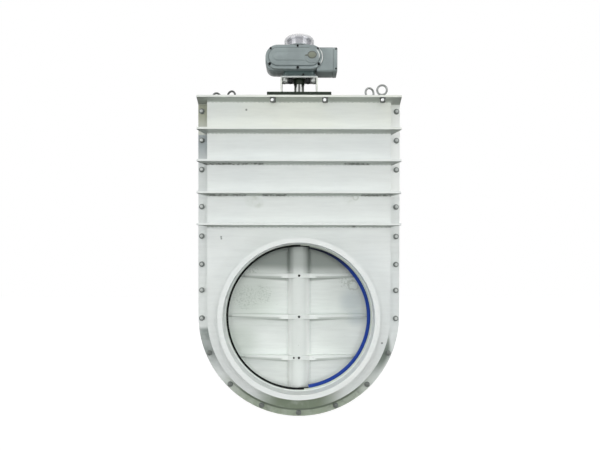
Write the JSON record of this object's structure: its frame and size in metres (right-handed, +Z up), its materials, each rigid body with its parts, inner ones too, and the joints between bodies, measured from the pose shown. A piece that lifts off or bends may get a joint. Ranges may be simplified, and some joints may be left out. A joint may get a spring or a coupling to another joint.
{
  "type": "electric gate valve",
  "caption": "Fabricated steel gate valve with round ports, a half-round bottom, a square ribbed bonnet and an electric actuator that lifts the gate.",
  "frame": {"origin": "centre of the rear port, on the rear port face", "axes": "+X to the right seen from the front, +Y along the duct towards the rear, +Z up the stem"},
  "size_m": [0.833, 0.26, 1.5645],
  "materials": {
    "white_paint": "satin, brushed on by hand, dirty in the corners",
    "gate_paint": "satin, worn and dusty",
    "black_rubber": "matte",
    "blue_rubber": "satin",
    "black_paint": "satin",
    "dark_steel": "dull zinc",
    "bright_steel": "polished",
    "grey_cast": "satin enamel on cast aluminium",
    "clear_dome": "clear moulded plastic",
    "indicator_plastic": "white with grey bars",
    "bronze": "machined"
  },
  "bodies": {
    "body": {"front_plate": "white_paint", "front_side_wall": "white_paint", "front_flange": "white_paint", "front_neck": "white_paint", "front_ring": "white_paint", "front_ribs": "white_paint", "front_seal": "black_rubber", "front_trim_left": "black_rubber", "front_trim_right": "blue_rubber", "rear_plate": "white_paint", "rear_side_wall": "white_paint", "rear_flange": "white_paint", "rear_neck": "white_paint", "rear_ring": "white_paint", "rear_ribs": "white_paint", "rear_seal": "black_rubber", "rear_trim": "black_rubber", "flange_gasket": "black_rubber", "guide_rail_left": "dark_steel", "guide_rail_right": "dark_steel", "top_plate": "white_paint", "base_seal": "black_rubber", "base_plate": "black_paint", "gland_ring": "black_paint", "lifting_eye_1": "dark_steel", "lifting_eye_2": "dark_steel", "lifting_eye_3": "dark_steel", "lifting_eye_4": "dark_steel", "bracket_left": "white_paint", "bracket_right": "white_paint", "bracket_top": "white_paint", "actuator_foot": "grey_cast", "gear_housing": "grey_cast", "front_cover": "grey_cast", "motor_housing": "grey_cast", "motor_cap": "grey_cast", "dome": "clear_dome"},
    "gate": {"gate_plate": "gate_paint", "gate_edge_bar": "gate_paint", "gate_pipe": "gate_paint", "gate_cross_ribs": "gate_paint", "stem_nut": "bronze"},
    "stem": {"stem": "bright_steel", "drive_coupling": "black_paint"},
    "indicator": {"indicator_drum": "indicator_plastic"}
  },
  "joints": [
    {"name": "gate_lift", "type": "slide", "parent": "body", "child": "gate", "axis": [0, 0, 1], "range_m": [0, 0.545]},
    {"name": "stem_turn", "type": "hinge", "parent": "body", "child": "stem", "pos_m": [0, -0.13, 0.9], "axis": [0, 0, 1], "range_deg": [0, 19620]},
    {"name": "indicator_turn", "type": "hinge", "parent": "body", "child": "indicator", "pos_m": [0, -0.13, 1.1], "axis": [0, 0, 1], "range_deg": [0, 90]}
  ],
  "couplings": [
    {"joint": "stem_turn", "follows": "gate_lift", "rad_per_m": 628.32},
    {"joint": "indicator_turn", "follows": "gate_lift", "rad_per_m": 2.8822}
  ]
}
